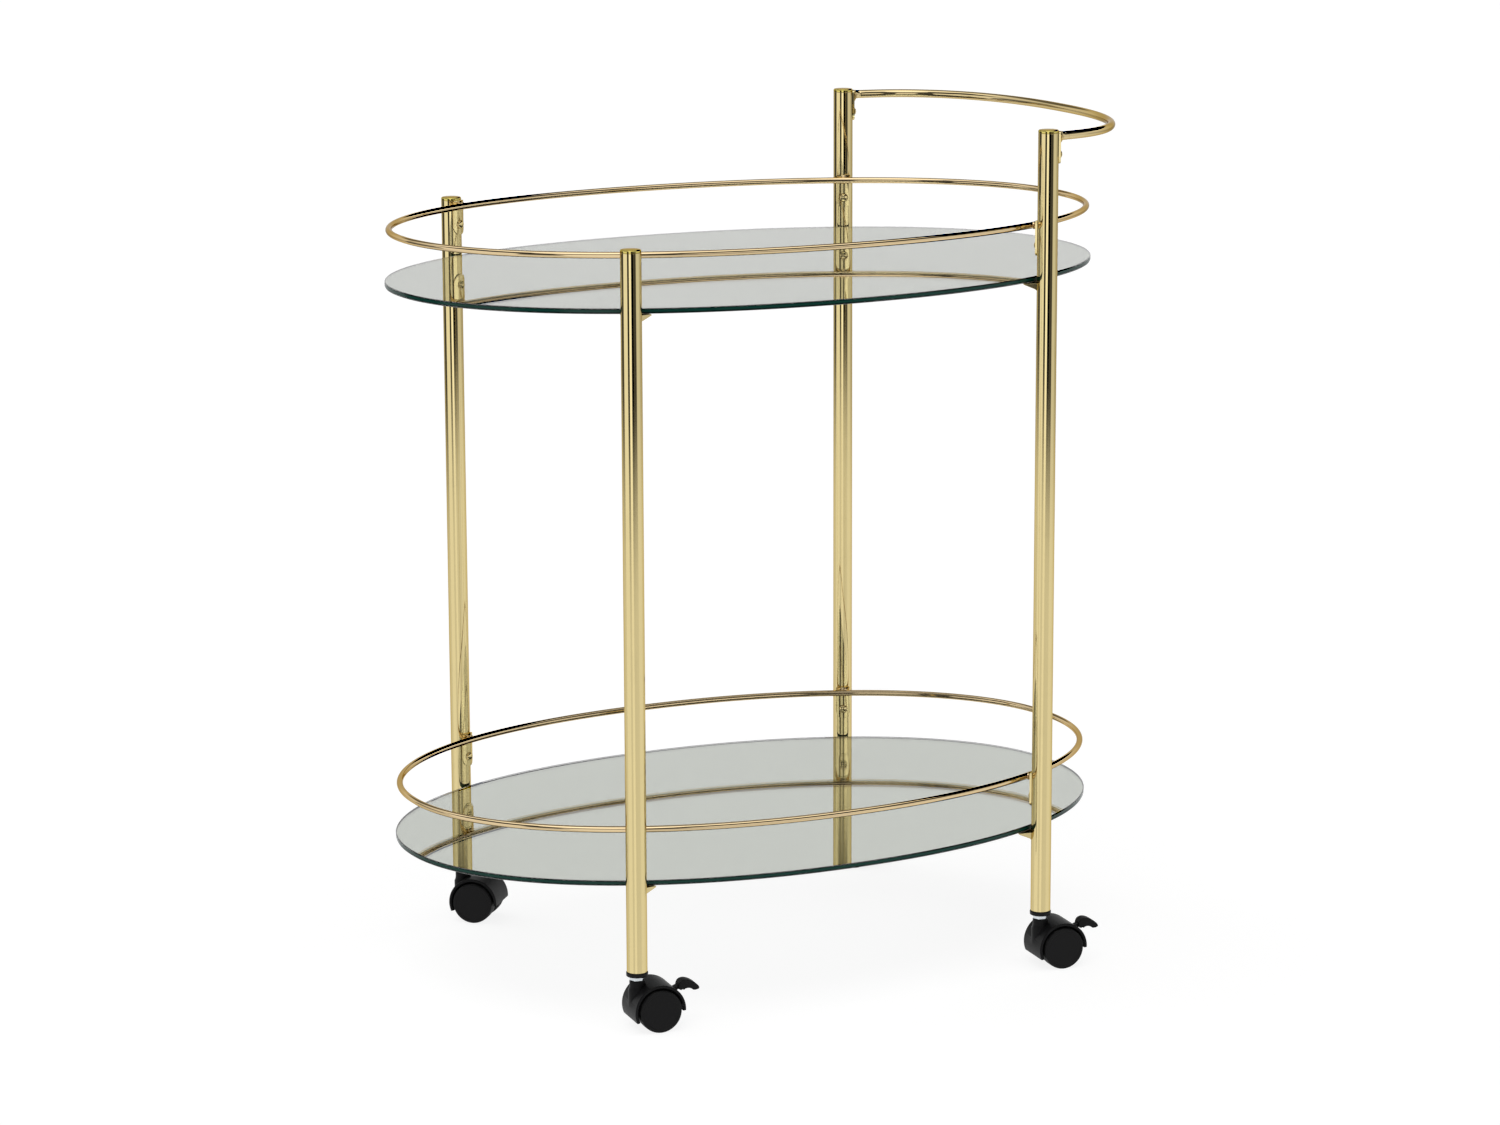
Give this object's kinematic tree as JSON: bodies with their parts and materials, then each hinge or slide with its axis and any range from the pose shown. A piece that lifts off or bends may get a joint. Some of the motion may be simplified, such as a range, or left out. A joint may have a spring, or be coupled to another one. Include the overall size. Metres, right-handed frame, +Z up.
{
  "type": "oval bar cart on wheels",
  "caption": "Oval serving cart with mirror shelves inside wire gallery rails, round posts, a curved push handle and twin-wheel casters that swivel.",
  "frame": {"origin": "on the floor under the centre of the oval shelves", "axes": "+Z up; +X along the cart towards the push handle; +Y across it, away from the two braked casters"},
  "size_m": [0.7, 0.46, 0.8],
  "materials": {
    "post_brass": "polished brass plating",
    "rail_brass": "polished, slightly rosier brass plating",
    "screw_brass": "polished brass plating",
    "bracket_brass": "brass plating",
    "mirror_glass": "silvered glass with a dark green polished edge",
    "plug_plastic": "black moulded plastic",
    "zinc": "bright zinc plating",
    "hood_plastic": "satin black moulded plastic",
    "wheel_plastic": "satin black moulded nylon",
    "brake_plastic": "fine-grained black moulded plastic"
  },
  "bodies": {
    "cart": {"upper_shelf": "mirror_glass", "lower_shelf": "mirror_glass", "upper_rail": "rail_brass", "lower_rail": "rail_brass", "push_handle": "rail_brass", "post_near_left": "post_brass", "cap_near_left": "post_brass", "plug_near_left": "plug_plastic", "caster_stem_near_left": "zinc", "upper_bracket_near_left": "bracket_brass", "upper_rail_screw_near_left": "screw_brass", "lower_bracket_near_left": "bracket_brass", "lower_rail_screw_near_left": "screw_brass", "post_near_right": "post_brass", "cap_near_right": "post_brass", "plug_near_right": "plug_plastic", "caster_stem_near_right": "zinc", "upper_bracket_near_right": "bracket_brass", "upper_rail_screw_near_right": "screw_brass", "lower_bracket_near_right": "bracket_brass", "lower_rail_screw_near_right": "screw_brass", "handle_screw_near_right": "screw_brass", "post_far_left": "post_brass", "cap_far_left": "post_brass", "plug_far_left": "plug_plastic", "caster_stem_far_left": "zinc", "upper_bracket_far_left": "bracket_brass", "upper_rail_screw_far_left": "screw_brass", "lower_bracket_far_left": "bracket_brass", "lower_rail_screw_far_left": "screw_brass", "post_far_right": "post_brass", "cap_far_right": "post_brass", "plug_far_right": "plug_plastic", "caster_stem_far_right": "zinc", "upper_bracket_far_right": "bracket_brass", "upper_rail_screw_far_right": "screw_brass", "lower_bracket_far_right": "bracket_brass", "lower_rail_screw_far_right": "screw_brass", "handle_screw_far_right": "screw_brass"},
    "caster_near_left": {"caster_hood_near_left": "hood_plastic", "caster_axle_near_left": "zinc", "brake_pin_near_left": "zinc"},
    "wheel_a_near_left": {"wheel_a_near_left": "wheel_plastic"},
    "wheel_b_near_left": {"wheel_b_near_left": "wheel_plastic"},
    "brake_near_left": {"brake_lever_near_left": "brake_plastic"},
    "caster_near_right": {"caster_hood_near_right": "hood_plastic", "caster_axle_near_right": "zinc", "brake_pin_near_right": "zinc"},
    "wheel_a_near_right": {"wheel_a_near_right": "wheel_plastic"},
    "wheel_b_near_right": {"wheel_b_near_right": "wheel_plastic"},
    "brake_near_right": {"brake_lever_near_right": "brake_plastic"},
    "caster_far_left": {"caster_hood_far_left": "hood_plastic", "caster_axle_far_left": "zinc"},
    "wheel_a_far_left": {"wheel_a_far_left": "wheel_plastic"},
    "wheel_b_far_left": {"wheel_b_far_left": "wheel_plastic"},
    "caster_far_right": {"caster_hood_far_right": "hood_plastic", "caster_axle_far_right": "zinc"},
    "wheel_a_far_right": {"wheel_a_far_right": "wheel_plastic"},
    "wheel_b_far_right": {"wheel_b_far_right": "wheel_plastic"}
  },
  "joints": [
    {"name": "swivel_near_left", "type": "hinge", "parent": "cart", "child": "caster_near_left", "pos_m": [-0.2126, -0.20118, 0.0466], "axis": [0, 0, 1], "continuous": true},
    {"name": "spin_a_near_left", "type": "hinge", "parent": "caster_near_left", "child": "wheel_a_near_left", "pos_m": [-0.19669, -0.20286, 0.02], "axis": [0.1045, 0.9945, 0], "continuous": true},
    {"name": "spin_b_near_left", "type": "hinge", "parent": "caster_near_left", "child": "wheel_b_near_left", "pos_m": [-0.19669, -0.20286, 0.02], "axis": [0.1045, 0.9945, 0], "continuous": true},
    {"name": "brake_near_left", "type": "hinge", "parent": "caster_near_left", "child": "brake_near_left", "pos_m": [-0.18375, -0.20422, 0.032], "axis": [0.1045, 0.9945, 0], "range_deg": [0, 10]},
    {"name": "swivel_near_right", "type": "hinge", "parent": "cart", "child": "caster_near_right", "pos_m": [0.2126, -0.20118, 0.0466], "axis": [0, 0, 1], "continuous": true},
    {"name": "spin_a_near_right", "type": "hinge", "parent": "caster_near_right", "child": "wheel_a_near_right", "pos_m": [0.22851, -0.20286, 0.02], "axis": [0.1045, 0.9945, 0], "continuous": true},
    {"name": "spin_b_near_right", "type": "hinge", "parent": "caster_near_right", "child": "wheel_b_near_right", "pos_m": [0.22851, -0.20286, 0.02], "axis": [0.1045, 0.9945, 0], "continuous": true},
    {"name": "brake_near_right", "type": "hinge", "parent": "caster_near_right", "child": "brake_near_right", "pos_m": [0.24145, -0.20422, 0.032], "axis": [0.1045, 0.9945, 0], "range_deg": [0, 10]},
    {"name": "swivel_far_left", "type": "hinge", "parent": "cart", "child": "caster_far_left", "pos_m": [-0.2126, 0.20118, 0.0466], "axis": [0, 0, 1], "continuous": true},
    {"name": "spin_a_far_left", "type": "hinge", "parent": "caster_far_left", "child": "wheel_a_far_left", "pos_m": [-0.2006, 0.1906, 0.02], "axis": [0.6613, 0.7501, 0], "continuous": true},
    {"name": "spin_b_far_left", "type": "hinge", "parent": "caster_far_left", "child": "wheel_b_far_left", "pos_m": [-0.2006, 0.1906, 0.02], "axis": [0.6613, 0.7501, 0], "continuous": true},
    {"name": "swivel_far_right", "type": "hinge", "parent": "cart", "child": "caster_far_right", "pos_m": [0.2126, 0.20118, 0.0466], "axis": [0, 0, 1], "continuous": true},
    {"name": "spin_a_far_right", "type": "hinge", "parent": "caster_far_right", "child": "wheel_a_far_right", "pos_m": [0.2246, 0.1906, 0.02], "axis": [0.6613, 0.7501, 0], "continuous": true},
    {"name": "spin_b_far_right", "type": "hinge", "parent": "caster_far_right", "child": "wheel_b_far_right", "pos_m": [0.2246, 0.1906, 0.02], "axis": [0.6613, 0.7501, 0], "continuous": true}
  ]
}
